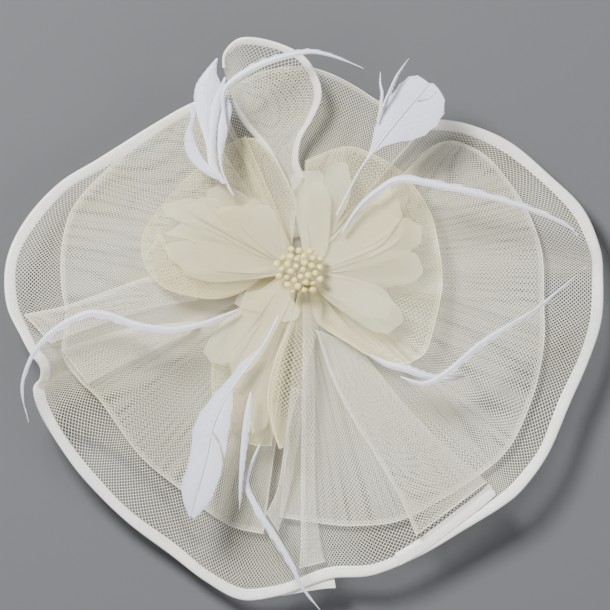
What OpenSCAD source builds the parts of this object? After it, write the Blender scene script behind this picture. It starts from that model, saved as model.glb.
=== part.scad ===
// Fascinator headpiece: a waved saucer brim of crinoline net, gathered net loops,
// an organza flower with stamens, and white feathers, on a felt base with a hair clip.
// Millimetres, +Z away from the head. The origin is between the closed jaws of the clip.

/* [Brim] */
// how high the three waves of the brim rise at the rim
wave_h = 6; // [3:1:9]
// extra height of the rolled-up part of the brim
curl_h = 24; // [18:1:26]
// thickness of one ply of net
net_t = 0.5; // [0.4:0.1:0.8]
// width of the satin binding on each face
binding_w = 6.6; // [5:0.2:8]
// width of the binding of the rolled-up end
curl_binding_w = 4.6; // [4:0.2:6]
// thickness of the folded binding
binding_t = 1.8; // [1.8:0.1:2.4]
// diameter of the wire in the fold of the binding
wire_d = 1; // [0.8:0.1:1.2]

/* [Flower] */
// thickness of an organza petal
petal_t = 0.5; // [0.4:0.1:0.7]
// diameter of a stamen head
stamen_d = 4; // [3:0.2:4.6]

/* [Feathers] */
// thickness of a feather vane
vane_t = 0.7; // [0.5:0.1:1]

/* [Base and clip] */
// radius of the felt base
felt_r = 27; // [24:1:30]
// thickness of the felt base
felt_t = 2.4; // [2:0.2:3]
// thickness of the clip's sheet steel
steel_t = 0.8; // [0.7:0.1:0.9]

/* [Hidden] */
$fn = 32;

ivory = [0.88, 0.87, 0.83];
cream = [0.83, 0.80, 0.70];
satin = [0.93, 0.92, 0.89];
white = [0.93, 0.93, 0.97];
yellow = [0.95, 0.92, 0.72];
steel = [0.70, 0.71, 0.73];

felt_z = 3.2;                    // underside of the felt base
net_z = felt_z + felt_t + 0.8;   // underside of the net where it is gathered

// ---- curves ----

function clampi(i, n) = min(max(i, 0), n - 1);

// smooth curve through the points of P; t runs from 0 to 1
function smooth(P, t) =
    let (n = len(P), k = t * (n - 1), i = min(floor(k), n - 2), f = k - i,
        a = P[clampi(i - 1, n)], b = P[i], c = P[i + 1], d = P[clampi(i + 2, n)])
    0.5 * (2 * b + (c - a) * f + (2 * a - 5 * b + 4 * c - d) * f * f
        + (3 * b - a - 3 * c + d) * f * f * f);

function unit(v) = v / norm(v);
function flat(p) = [p[0], p[1], 0];
function radius(p) = norm([p[0], p[1]]);

// height of the waved saucer over the gathering: three broad waves and five slight ones
function saucer(p) =
    let (r = radius(p), a = atan2(p[1], p[0]))
    net_z + pow(r / 180, 2) * (7 + wave_h * cos(3 * (a - 75)) + 2 * cos(5 * a + 40));

// height of the flower and feathers: they rise out of the middle and level off
function spray(p, level) =
    net_z + 22 + 0.9 * level + 4.5 * (1 - cos(2 * min(radius(p), 90)));

// points on an arc about the middle, at one lift
function arc(r, a0, a1, lift, n = 8) =
    [for (i = [0 : n]) let (a = a0 + (a1 - a0) * i / n) [r * cos(a), r * sin(a), lift]];

// ---- thin sheets ----

// A net runs from the curve Q to its free edge E; the points are [x, y, lift over the saucer].
// "cup" bends the net up towards the free edge, "flute" is [height, turns] of its ripples.
function net_point(E, Q, cup, flute, t, s) =
    let (e = smooth(E, t), q = smooth(Q, t), p = flat(q) + flat(e - q) * s,
        rise = q[2] + (e[2] - q[2]) * pow(s, cup)
            + flute[0] * sin(360 * flute[1] * t) * s * (1 - s) * 4)
    flat(p) + [0, 0, saucer(p) + rise];

function net_grid(E, Q, cup, flute, nt, ns) =
    [for (i = [0 : nt]) [for (j = [0 : ns]) net_point(E, Q, cup, flute, i / nt, j / ns)]];

function grid_faces(n, m) =
    let (top = n * m, last = (n - 1) * m)
    concat(
        [for (i = [0 : n - 2]) for (j = [0 : m - 2]) let (a = i * m + j, b = a + m)
            each [[a, a + 1, b], [a + 1, b + 1, b]]],
        [for (i = [0 : n - 2]) for (j = [0 : m - 2]) let (a = top + i * m + j, b = a + m)
            each [[a, b, a + 1], [a + 1, b, b + 1]]],
        [for (i = [0 : n - 2]) let (a = i * m, b = a + m)
            each [[a, b, top + b], [a, top + b, top + a]]],
        [for (i = [0 : n - 2]) let (a = i * m + m - 1, b = a + m)
            each [[a, top + b, b], [a, top + a, top + b]]],
        [for (j = [0 : m - 2]) each [[j, top + j, top + j + 1], [j, top + j + 1, j + 1]]],
        [for (j = [0 : m - 2]) let (a = last + j)
            each [[a, top + a + 1, top + a], [a, a + 1, top + a + 1]]]);

// closed thin solid: the grid G below, and the same grid moved by th along the directions D above
module slab(G, D, th) {
    n = len(G);
    m = len(G[0]);
    low = [for (g = G) each g];
    high = [for (i = [0 : n - 1]) for (j = [0 : m - 1]) G[i][j] + D[i][j] * th];
    polyhedron(points = concat(low, high), faces = grid_faces(n, m), convexity = 8);
}

module level_slab(G, th) {
    slab(G, [for (g = G) [for (p = g) [0, 0, 1]]], th);
}

module net(E, Q, cup = 2, flute = [0, 0], nt = 20, ns = 4) {
    level_slab(net_grid(E, Q, cup, flute, nt, ns), net_t);
}

// closed solid through the rings R, each a list of points in order round the rod
module skin(R) {
    n = len(R);
    m = len(R[0]);
    sides = [for (i = [0 : n - 2]) for (j = [0 : m - 1]) let (k = (j + 1) % m, a = i * m, b = a + m)
        each [[a + j, b + j, a + k], [a + k, b + j, b + k]]];
    ends = [[for (j = [0 : m - 1]) j], [for (j = [m - 1 : -1 : 0]) (n - 1) * m + j]];
    polyhedron(points = [for (r = R) each r], faces = concat(sides, ends), convexity = 8);
}

// ---- felt base ----

module felt_base() {
    color(ivory)
        translate([0, 0, felt_z])
            cylinder(r = felt_r, h = felt_t, $fn = 64);
}

// short stitches that hold the gathered net to the felt
module base_stitches() {
    color(white)
        for (i = [0 : 11])
            rotate([0, 0, 30 * i])
                translate([12, 0, felt_z + felt_t + 0.28])
                    rotate([90, 0, 20])
                        cylinder(d = 0.5, h = 4, center = true, $fn = 16);
}

// ---- brim ----

// free edge of the brim: it starts beside the rolled-up end at the back and runs round the
// left, the front and the right
RIM = [[-50, 106, 3], [-68, 99, 4], [-89, 87, 4], [-121, 67, 3],
    [-145, 52, 3], [-165, 30, 3], [-176, 6, 4], [-176, -20, 7], [-167, -40, 11], [-161, -51, 12],
    [-156, -58, 9], [-156, -65, 5], [-160, -72, 3], [-155, -88, 1], [-138, -115, 1],
    [-122, -134, 0], [-102, -153, 0], [-78, -171, 0], [-57, -187, 0], [-36, -198, 0],
    [-14, -196, 0], [4, -190, 0], [20, -185, 1], [44, -183, 1], [73, -171, 0], [100, -155, 1],
    [121, -142, 2], [134, -131, 2], [149, -110, 1], [162, -80, 0], [173, -55, 0], [181, -30, 0],
    [182, -4, 1], [180, 14, 2], [170, 37, 2], [150, 57, 2], [126, 77, 0], [100, 88, 0],
    [78, 91, 0]];
// angle on the gathering against place along the free edge
RIM_ARC = [[0, 114], [3, 150], [6, 178], [10, 200], [16, 236], [22, 276], [27, 314], [32, 358],
    [36, 390], [38, 410]];
RING = [for (i = [0 : len(RIM) - 1]) let (a = lookup(i, RIM_ARC)) [15 * cos(a), 15 * sin(a), 0]];
brim_steps = 132;

// rolled-up end of the brim at the back: bound edge, and the fold it rolls up from
CURL = [[3, 56, 13], [-1, 66, 16], [1, 79, 19], [8, 91, curl_h - 2], [13, 104, curl_h],
    [10, 117, curl_h], [1, 129, curl_h], [-17, 137, curl_h - 1], [-35, 139, curl_h - 1],
    [-45, 131, curl_h - 2], [-46, 121, curl_h - 4]];
CURL_FOLD = [[-5, 46, 8], [-11, 59, 8], [-17, 69, 8], [-24, 77, 8], [-31, 84, 8], [-36, 91, 8],
    [-39, 98, 8], [-40, 103, 8], [-42, 108, 9]];
curl_steps = 56;

// frame of a bound edge at t: [edge point, direction into the net, normal of the net]
function edge_frame(E, Q, cup, t) =
    let (d = 0.002, p = net_point(E, Q, cup, [0, 0], t, 1),
        along = unit(net_point(E, Q, cup, [0, 0], min(t + d, 1), 1)
            - net_point(E, Q, cup, [0, 0], max(t - d, 0), 1)),
        raw = net_point(E, Q, cup, [0, 0], t, 0.96) - p,
        inward = unit(raw - along * (raw * along)),
        up = cross(along, inward))
    [p, inward, up[2] < 0 ? -up : up];

function in_frame(f, inward, up) = f[0] + f[1] * inward + f[2] * up;

edge_in = wire_d + 0.8;                      // the net stops this far from the fold
slot = net_t / 2 + 0.2;                      // half the slot the net lies in
pressed = 0.4;                               // share of its thickness left in the slot
wire_in = 0.9;                               // the wire's middle, from the fold
wire_room = wire_d * 0.45 + 0.06;            // half the channel the wire lies in

// how far along its width a net runs before it enters its binding
function free_part(E, Q, cup, t, most, bound) =
    let (f = edge_frame(E, Q, cup, t), depth = (net_point(E, Q, cup, [0, 0], t, 0) - f[0]) * f[1])
    max(0.05, min(most, 1 - (bound + 2.5) / max(depth, 1)));

// net that ends in the slot of its binding
module bound_net(E, Q, cup, flute, steps, ns, s_free, bound) {
    F = [for (i = [0 : steps]) edge_frame(E, Q, cup, i / steps)];
    up = [0, 0, 1];
    G = [for (i = [0 : steps])
        concat(
            [for (j = [0 : ns])
                net_point(E, Q, cup, flute, i / steps,
                    free_part(E, Q, cup, i / steps, s_free, bound) * j / ns) - up * net_t / 2],
            [in_frame(F[i], bound + 1.5, -net_t * pressed / 2),
                in_frame(F[i], edge_in, -net_t * pressed / 2)])];
    D = [for (i = [0 : steps])
        concat([for (j = [0 : ns]) up], [F[i][2] * pressed, F[i][2] * pressed])];
    slab(G, D, net_t);
}

// satin folded over the edge: a U round the net, with a channel for the wire in its fold
module folded_binding(E, Q, cup, steps, width) {
    h = binding_t / 2;
    a = wire_in - wire_room;
    b = wire_in + wire_room;
    U = [[0, -h * 0.6], [0.7, -h], [width, -h], [width, -slot], [b, -slot], [b, -wire_room],
        [a, -wire_room], [a, wire_room], [b, wire_room], [b, slot], [width, slot], [width, h],
        [0.7, h], [0, h * 0.6]];
    skin([for (i = [0 : steps]) let (f = edge_frame(E, Q, cup, i / steps))
        [for (u = U) in_frame(f, u[0], u[1])]]);
}

module edge_wire(E, Q, cup, steps) {
    skin([for (i = [0 : steps]) let (f = edge_frame(E, Q, cup, i / steps))
        [for (a = [45 : 90 : 315])
            in_frame(f, wire_in + wire_d * 0.45 * cos(a), wire_d * 0.45 * sin(a))]]);
}

module brim_net() {
    color(ivory)
        bound_net(RIM, RING, 6, [1.2, 9], brim_steps, 4, 0.88, binding_w);
}

module curl_net() {
    color(ivory)
        bound_net(CURL, CURL_FOLD, 1.3, [0, 0], curl_steps, 3, 0.6, curl_binding_w);
}

module brim_binding() {
    color(satin)
        folded_binding(RIM, RING, 6, brim_steps, binding_w);
}

// narrow binding of the side the rolled end folds back from
module curl_side_binding() {
    color(satin)
        level_slab([for (i = [0 : curl_steps])
            let (t = i / curl_steps, a = net_point(CURL, CURL_FOLD, 1.3, [0, 0], t, 0),
                b = net_point(CURL, CURL_FOLD, 1.3, [0, 0], t,
                    free_part(CURL, CURL_FOLD, 1.3, t, 0.6, curl_binding_w) / 3),
                width = min(2.4, norm(b - a)))
            [for (w = [0, width]) a + unit(b - a) * w + [0, 0, net_t / 2 + 0.25]]], 0.8);
}

module curl_binding() {
    color(satin)
        folded_binding(CURL, CURL_FOLD, 1.3, curl_steps, curl_binding_w);
}

module brim_wire() {
    color(steel)
        edge_wire(RIM, RING, 6, brim_steps);
}

module curl_wire() {
    color(steel)
        edge_wire(CURL, CURL_FOLD, 1.3, curl_steps);
}

// ribbon of satin on top of the rim from t0 to t1 along it; its outer side goes from "from"
// to "to" inside the edge
function on_rim(t0, t1, from, to, width, rise, n) =
    [for (i = [0 : n]) let (f = edge_frame(RIM, RING, 6, t0 + (t1 - t0) * i / n),
            outer = from + (to - from) * i / n)
        [for (w = [outer + width, outer]) in_frame(f, w, rise)]];

// the start of the binding, which stands proud under its lapped end
module binding_joint() {
    color(satin)
        level_slab(on_rim(0.529, 0.579, 0.3, -5.6, 6.3, -binding_t / 2 - 1.2, 8), 0.8);
}

// spare end of binding that leaves the rim
module binding_tail() {
    color(satin)
        level_slab(on_rim(0.62, 0.686, 0.2, 8.2, 7.2, binding_t / 2 + 0.4, 14), 0.8);
}

// ---- second layer of net ----

LAYER_LEFT = [[-64, 99, 7], [-90, 82, 8], [-115, 61, 8], [-135, 39, 8], [-142, 18, 9],
    [-143, -6, 10], [-140, -28, 11], [-142, -50, 11], [-132, -66, 9], [-119, -79, 7],
    [-96, -111, 6], [-71, -132, 6], [-55, -145, 6], [-40, -154, 6], [-22, -158, 6]];
LAYER_RIGHT = [[-12, -148, 6], [2, -150, 6], [26, -153, 6], [50, -152, 6], [65, -148, 6],
    [85, -137, 6], [108, -122, 7], [122, -110, 7], [131, -96, 7], [141, -70, 6], [146, -44, 6],
    [146, -21, 6], [145, 10, 6], [137, 34, 6], [125, 53, 6], [112, 68, 6], [97, 76, 6],
    [87, 77, 6], [76, 72, 6], [64, 62, 6]];

module layer_left() {
    color(ivory)
        net(LAYER_LEFT, arc(12, 122, 262, 3), 2, [0.8, 5], 34, 4);
}

module layer_right() {
    color(ivory)
        net(LAYER_RIGHT, arc(12, 266, 404, 3), 2, [0.8, 6], 38, 4);
}

// the back of the brim, which has a raw edge and stands over its two ends
module top_fold() {
    color(ivory)
        net([[76, 87, 5], [62, 94, 5], [47, 101, 6], [33, 110, 6], [17, 118, 6], [0, 122, 6],
            [-22, 119, 6], [-38, 111, 6], [-52, 101, 6]],
            arc(20, 49, 117, 3), 1, [0, 0], 24, 4);
}

// ---- gathered loops of narrower net ----

module loop_left() {
    color(cream)
        net([[-32, 80, 16], [-46, 73, 18], [-63, 59, 20], [-77, 45, 20], [-86, 34, 20],
            [-94, 21, 21], [-94, 8, 22], [-90, -2, 22], [-80, -11, 21], [-63, -16, 20],
            [-48, -17, 19], [-34, -13, 17], [-23, -6, 15]],
            arc(9, 105, 190, 10), 2, [0, 0], 24, 4);
}

module loop_right() {
    color(cream)
        net([[12, -33, 16], [26, -41, 17], [41, -49, 18], [61, -56, 19], [68, -54, 20],
            [76, -47, 20], [83, -21, 20], [85, -6, 20], [83, 13, 20], [78, 34, 19], [68, 50, 19],
            [56, 62, 19], [34, 73, 18], [20, 72, 17], [3, 65, 16]],
            arc(9, -66, 84, 10), 2, [0, 0], 28, 4);
}

module loop_top() {
    color(cream)
        net([[-5, 14, 14], [-4, 27, 14.5], [-3, 40, 15], [-9, 56, 16], [-16, 68, 17], [-26, 79, 18]],
            [[-12, 9, 14], [-16, 22, 14.5], [-22, 38, 15.5], [-29, 52, 16.5], [-33, 66, 17.5], [-34,
            79, 18]], 1, [0, 0], 14, 4);
}

module loop_bottom() {
    color(cream)
        net([[-22, -4, 16], [-32, -13, 18], [-37, -27, 19], [-46, -41, 20], [-52, -54, 21],
            [-52, -75, 21], [-44, -94, 20], [-29, -104, 20], [-17, -105, 19]],
            arc(10, 196, 255, 14), 2, [0, 0], 20, 4);
}

module loop_front() {
    color(cream)
        net([[-1, -13, 20.5], [-3, -24, 24], [-7, -35, 28], [-14, -52, 31], [-19, -74, 33],
            [-17, -92, 34], [-12, -107, 33]],
            [[9, -10, 20.5], [13, -20, 22.5], [11, -34, 27], [5, -56, 31], [-2, -78, 33],
            [-7, -96, 34], [-10, -106, 33]], 1, [0, 0], 18, 4);
}

// turned-over bands of the left and right loops

module band_left() {
    color(cream)
        net([[-12, 6, 19], [-22, 4, 20], [-33, 2, 22], [-48, -1, 23], [-64, 1, 24], [-76, 9, 24],
            [-84, 22, 24]],
            [[-12, -3, 19], [-23, -5, 20], [-34, -12, 22], [-50, -16, 23], [-68, -14, 24], [-84, -6,
            24], [-92, 10, 24]], 1, [0, 0], 18, 3);
}

module band_right() {
    color(cream)
        net([[6, -14, 18], [11, -31, 18.5], [28, -43, 21], [45, -53, 23], [60, -57, 24]],
            [[11, -7, 18], [16, -18, 18.5], [24, -29, 21], [38, -42, 23], [61, -54, 24]], 1, [0, 0], 14, 3);
}

// ---- tails of net; each runs between its two edges ----

module tail_left_upper() {
    color(ivory)
        net([[-62, 2, 10.5], [-96, -6, 12], [-138, -21, 15], [-165, -27, 15]],
            [[-62, -18, 10.5], [-94, -24, 12], [-126, -35, 15], [-149, -44, 15]], 1, [0, 0], 12, 3);
}

module tail_left_lower() {
    color(ivory)
        net([[-62, -31, 11], [-105, -36, 12], [-143, -48, 13]],
            [[-66, -38, 11], [-98, -53, 12], [-127, -68, 13]], 1, [0, 0], 10, 3);
}

module tail_right() {
    color(ivory)
        net([[10, -36, 12], [18, -61, 11], [30, -86, 10], [46, -112, 9], [60, -136, 9], [70, -159, 8]],
            [[34, -45, 12], [68, -86, 11], [89, -107, 10], [104, -120, 9], [112, -127, 9]],
            1, [0.8, 1], 16, 5);
}

module tail_bottom_a() {
    color(ivory)
        net([[-5, -70, 12], [-12, -126, 10], [-20, -146, 9]],
            [[4, -72, 12], [-5, -126, 10], [-13, -157, 9]], 1, [0, 0], 10, 2);
}

module tail_bottom_b() {
    color(ivory)
        net([[2, -20, 13], [2, -60, 13], [1, -126, 11], [1, -161, 8], [0, -179, 5]],
            [[6, -20, 13], [9, -60, 13], [9, -126, 11], [12, -161, 8], [15, -175, 5]], 1, [0, 0], 14, 2);
}

// ---- flower ----

// petals: [level, root, outline]
PETALS_LEFT = [
    [1, [[-7, 4], [-8, 1]], [[-34, 28], [-56, 34], [-71, 29], [-80, 22], [-70, 19], [-63, 16],
        [-59, 8], [-50, 0], [-38, -1], [-20, 2]]],
    [0, [[-8, 2], [-8, -1]], [[-40, 14], [-62, 18], [-77, 16], [-79, 9], [-73, 2], [-62, -2],
        [-48, -3], [-28, -1]]],
    [2, [[-6, 6], [-8, 4]], [[-20, 16], [-36, 28], [-50, 38], [-62, 43], [-73, 42], [-81, 36],
        [-74, 30], [-60, 27], [-36, 14]]],
    [0, [[-4, 7], [-6, 6]], [[-18, 30], [-28, 41], [-38, 48], [-46, 51], [-55, 47], [-57, 40],
        [-48, 31], [-30, 20]]],
    [3, [[-5, 7], [-7, 5]], [[-13, 14], [-16, 26], [-20, 36], [-26, 42], [-35, 39], [-45, 38],
        [-48, 33], [-40, 23], [-26, 12]]]];
PETALS_RIGHT = [
    [0, [[8, -3], [8, 0]], [[28, -9], [42, -11], [56, -10], [69, -6], [73, 4], [67, 11], [50, 12],
        [30, 9]]],
    [1, [[8, 0], [8, 3]], [[46, 3], [62, 9], [71, 16], [72, 27], [61, 31], [46, 27], [28, 18]]],
    [2, [[7, 3], [6, 5]], [[40, 14], [52, 21], [60, 31], [60, 42], [53, 48], [44, 48], [34, 40],
        [20, 22]]],
    [1, [[6, 5], [4, 7]], [[20, 26], [28, 38], [31, 52], [28, 62], [22, 64], [16, 61], [13, 46],
        [10, 26]]],
    [3, [[8, 2], [5, 7]], [[18, 18], [18, 34], [17, 48], [13, 57], [4, 60], [-5, 57], [-5, 49],
        [1, 36], [5, 20]]],
    [1, [[6, -6], [8, -3]], [[20, -21], [32, -30], [45, -37], [56, -37], [61, -28], [54, -18],
        [40, -11], [24, -8]]]];
PETALS_BOTTOM = [
    [0, [[-5, -6], [-2, -8]], [[-24, -52], [-31, -66], [-33, -82], [-30, -93], [-24, -97], [-19,
        -91], [-17, -76], [-13, -52]]],
    [1, [[-8, -3], [-5, -6]], [[-34, -20], [-48, -33], [-56, -45], [-55, -53], [-49, -57], [-38,
        -52], [-25, -38], [-14, -24]]],
    [2, [[-6, -5], [-3, -7]], [[-24, -32], [-34, -48], [-41, -62], [-40, -72], [-32, -75], [-23,
        -65], [-15, -48], [-8, -30]]],
    [3, [[-24, -12], [-12, -13]], [[-36, -14], [-39, -20], [-31, -24], [-20, -27], [-11, -31],
        [-3, -30], [0, -24], [-5, -17]]]];

// petal from its root Q to its outline E, on the common curve of the flower; it widens soon
// after the root, so its sides are convex
module petal(level, Q, E) {
    nt = 11;
    ns = 4;
    axis = unit(smooth(E, 0.5) - smooth(Q, 0.5));
    G = [for (i = [0 : nt])
        let (q = smooth(Q, i / nt), v = smooth(E, i / nt) - q, ahead = axis * (v * axis))
        [for (j = [0 : ns])
            let (w = j / ns, p = q + ahead * w + (v - ahead) * pow(w, 0.7))
            [p[0], p[1], spray(p, level)]]];
    level_slab(G, petal_t);
}

module petals(list) {
    color(cream)
        for (p = list)
            petal(p[0], p[1], p[2]);
}

module petals_left() {
    petals(PETALS_LEFT);
}

module petals_right() {
    petals(PETALS_RIGHT);
}

module petals_bottom() {
    petals(PETALS_BOTTOM);
}

// stiffened disc under the petals, on a short post from the felt
module flower_base() {
    color(cream) {
        translate([0, 0, net_z + 19.6])
            cylinder(r = 9, h = 2, $fn = 48);
        translate([0, 0, felt_z + felt_t])
            cylinder(r = 3, h = net_z + 20 - felt_z - felt_t, $fn = 32);
    }
}

stamens = 32;
function stamen_at(k) =
    let (r = 14.5 * sqrt((k + 0.5) / stamens), a = 137.508 * k)
    [r * cos(a), r * sin(a), net_z + 38 - 0.018 * r * r + 1.5 * sin(97 * k)];

module stamen_heads() {
    color(yellow)
        for (k = [0 : stamens - 1])
            translate(stamen_at(k))
                sphere(d = stamen_d, $fn = 20);
}

module stamen_stems() {
    color(cream)
        for (k = [0 : stamens - 1]) {
            top = stamen_at(k);
            root = [top[0] * 0.3, top[1] * 0.3, net_z + 21.8];
            v = top - root;
            reach = norm(v) - stamen_d / 2 - 0.1;
            translate(root)
                rotate([0, acos(v[2] / norm(v)), atan2(v[1], v[0])])
                    cylinder(d = 0.5, h = reach, $fn = 14);
        }
}

// ---- feathers ----

function feather_z(p, level, arch, t) = spray(p, level) + arch * sin(180 * t);

// blade between its two edges
module blade(L, R, level, arch, steps = 16) {
    G = [for (i = [0 : steps]) let (t = i / steps, a = smooth(L, t), b = smooth(R, t))
        [for (j = [0 : 3]) let (p = a + (b - a) * j / 3) [p[0], p[1], feather_z(p, level, arch, t)]]];
    level_slab(G, vane_t);
}

// broad vane with a tapering shaft along C on top
module vane(L, R, C, level, arch, steps = 16) {
    blade(L, R, level, arch, steps);
    skin([for (i = [0 : steps]) let (t = i / steps, c = smooth(C, t), r = 0.9 - 0.5 * t,
            along = unit(smooth(C, min(t + 0.05, 1)) - smooth(C, max(t - 0.05, 0))),
            side = [-along[1], along[0], 0], z = feather_z(c, level, arch, t) + vane_t)
        [for (a = [0 : 60 : 300]) [c[0], c[1], z] + side * r * cos(a) + [0, 0, r * sin(a)]]]);
}

// narrow curled feather along C, widest a third of the way out
module biot(C, width, level, arch, steps = 18) {
    G = [for (i = [0 : steps]) let (t = i / steps, c = smooth(C, t),
            along = unit(smooth(C, min(t + 0.03, 1)) - smooth(C, max(t - 0.03, 0))),
            side = [-along[1], along[0]], w = width / 2 * (0.25 + 0.75 * sin(180 * pow(t, 0.7))))
        [for (v = [1, 0, -1]) let (p = [c[0], c[1]] + side * v * w)
            [p[0], p[1], feather_z(p, level, arch, t)]]];
    level_slab(G, vane_t);
}

module goose_upper() {
    color(white)
        vane([[35, 57], [38, 66], [41, 75], [45, 86], [50, 98], [57, 108], [64, 115], [70, 116]],
            [[37, 58], [45, 71], [57, 75], [70, 78], [80, 84], [86, 93], [86, 103], [80, 111]],
            [[22, 33], [29, 47], [36, 60], [44, 71], [54, 84], [64, 96], [72, 105], [77, 111]], 10, 4);
}

module goose_lower() {
    color(white)
        vane([[-21, -43], [-29, -55], [-39, -69], [-40, -80], [-42, -96], [-46, -118], [-53, -137],
                [-63, -149]],
            [[-25, -42], [-34, -53], [-40, -62], [-52, -75], [-63, -91], [-66, -112], [-71, -131],
                [-66, -148]],
            [[-13, -28], [-22, -45], [-33, -60], [-44, -76], [-52, -94], [-56, -113], [-61, -131],
                [-65, -146]], 10, 4);
}

// blades of the bunch, each [left edge, right edge]
BLADES = [
    [[[-49, 53], [-61, 61], [-67, 68], [-69, 76], [-68, 83], [-65, 91], [-66, 99]],
        [[-47, 55], [-57, 65], [-62, 74], [-64, 82], [-63, 88], [-62, 94], [-65, 99]]],
    [[[-47, 52], [-54, 62], [-56, 75], [-60, 88], [-63, 100], [-62, 110], [-57, 118], [-50, 126]],
        [[-45, 51], [-51, 62], [-52, 78], [-51, 92], [-48, 104], [-48, 112], [-50, 118], [-49, 126]]],
    [[[-44, 50], [-48, 64], [-49, 80], [-48, 94], [-44, 103]],
        [[-37, 41], [-45, 56], [-46, 68], [-43, 84], [-41, 96], [-43, 103]]],
    [[[-46, 52], [-54, 64], [-54, 82], [-52, 100], [-45, 115]],
        [[-44, 51], [-50, 64], [-50, 82], [-47, 98], [-44, 114]]]];

module hackle_bunch() {
    color(white)
        for (i = [0 : 3])
            blade(BLADES[i][0], BLADES[i][1], 8 + 1.8 * i, 0);
}

module biots_upper() {
    color(white) {
        biot([[46, 88], [48, 97], [49, 105], [48, 111], [48, 118]], 1.8, 17, 2, 10);
        biot([[48, 94], [53, 105], [58, 116], [65, 126]], 1.8, 18, 2, 10);
    }
}

module biot_right() {
    color(white)
        biot([[25, 22], [34, 36], [46, 47], [60, 54], [85, 50], [104, 46], [126, 40], [146, 33],
            [160, 26], [167, 19]], 4.2, 8, 8, 26);
}

module biots_lower_right() {
    color(white) {
        biot([[42, -51], [52, -56], [63, -59], [75, -63], [88, -65], [104, -63]], 4.2, 8, 4);
        biot([[60, -64], [74, -68], [88, -61], [108, -44], [127, -32], [144, -21], [171, 2]], 3.6, 12, 7);
    }
}

module biot_left() {
    color(white)
        biot([[-37, -24], [-46, -28], [-60, -33], [-78, -36], [-98, -33], [-112, -28], [-126, -26],
            [-142, -33], [-154, -43], [-162, -56], [-166, -72], [-162, -91]], 4.2, 8, 6, 28);
}

module biots_bottom() {
    color(white) {
        biot([[-29, -73], [-31, -85], [-33, -100], [-35, -122], [-36, -143]], 3.8, 13, 4);
        biot([[-24, -104], [-32, -126], [-26, -142], [-16, -158], [-5, -176], [1, -189], [12, -203]],
            3.8, 8, 3);
    }
}

module biot_top() {
    color(white)
        biot([[-44, 84], [-46, 104], [-40, 113], [-27, 121], [-14, 126], [-2, 129], [8, 130],
            [21, 127], [38, 120]], 4, 16, 3, 24);
}

// ---- hair clip: a fixed arm under the felt, and a sprung jaw below it ----

hinge_x = 18;                    // pin, towards the back of the clip
hinge_z = -2;
pin_d = 1.6;
pin_fit = 0.05;                  // running clearance round the pin
ear_r = 2.3;
clip_w = 9;
tab_t = 0.8;
arm_tab_y = clip_w / 2 - tab_t / 2;
jaw_tab_y = arm_tab_y - tab_t - 0.2;
jaw_w = 2 * jaw_tab_y + tab_t;
jaw_gap = 0.7;                   // from the middle of the closed jaws to each plate
finger_angle = 30;

// row of small teeth across a jaw, pointing down from z = 0
module teeth(width) {
    for (i = [0 : 4])
        translate([-18 + 4 * i, 0, 0])
            rotate([90, 0, 0])
                linear_extrude(height = width, center = true)
                    polygon([[-0.5, 0], [0.5, 0], [0, -0.4]]);
}

// ear with the pin hole; "top" is how far its stem reaches above the pin
module ear(y, top, bore) {
    translate([hinge_x, y, hinge_z])
        rotate([90, 0, 0])
            difference() {
                union() {
                    cylinder(r = ear_r, h = tab_t, center = true);
                    if (top > 0)
                        translate([-ear_r, 0, -tab_t / 2])
                            cube([2 * ear_r, top, tab_t]);
                }
                cylinder(r = bore, h = tab_t + 1, center = true);
            }
}

module clip_arm() {
    color(steel) {
        translate([-20, -clip_w / 2, jaw_gap])
            cube([52, clip_w, steel_t]);
        translate([0, 0, jaw_gap + 0.05])
            teeth(clip_w - 2);
        for (y = [-arm_tab_y, arm_tab_y])
            ear(y, jaw_gap - hinge_z + 0.1, pin_d / 2);
    }
}

// folded felt pad that packs the clip's arm out to the felt base
module clip_pad() {
    color(ivory)
        translate([-16, -clip_w / 2, jaw_gap + steel_t])
            cube([40, clip_w, felt_z - jaw_gap - steel_t]);
}

// spring steel jaw with its finger plate bent away from the arm
module clip_jaw() {
    color(steel) {
        translate([-20, -2.5, -jaw_gap - steel_t])
            cube([34, 5, steel_t]);
        translate([11, -jaw_w / 2, -jaw_gap - steel_t])
            cube([5.2, jaw_w, steel_t]);
        translate([2, 0, -jaw_gap - 0.05])
            mirror([0, 0, 1])
                teeth(4.4);
        for (y = [-jaw_tab_y, jaw_tab_y])
            ear(y, 0, pin_d / 2 + pin_fit);
        translate([hinge_x + 0.76, -jaw_w / 2, hinge_z - 2.07])
            rotate([0, finger_angle, 0])
                cube([12, jaw_w, steel_t]);
    }
}

module clip_pin() {
    color(steel)
        translate([hinge_x, 0, hinge_z])
            rotate([90, 0, 0])
                cylinder(d = pin_d, h = clip_w + 0.6, center = true);
}

// small torsion spring on the pin: its coils, and a leg against each half of the clip
module clip_spring() {
    color(steel)
        translate([hinge_x, 0, hinge_z]) {
            rotate([90, 0, 0])
                difference() {
                    cylinder(r = 1.5, h = 4, center = true);
                    cylinder(r = 1, h = 5, center = true);
                }
            translate([0.2, 1.5, 1.25])
                rotate([0, 82, 0])
                    cylinder(d = 0.5, h = 8, $fn = 16);
            translate([0.92, -1.5, -0.88])
                rotate([0, 90 + finger_angle, 0])
                    cylinder(d = 0.5, h = 8, $fn = 16);
        }
}

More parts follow.
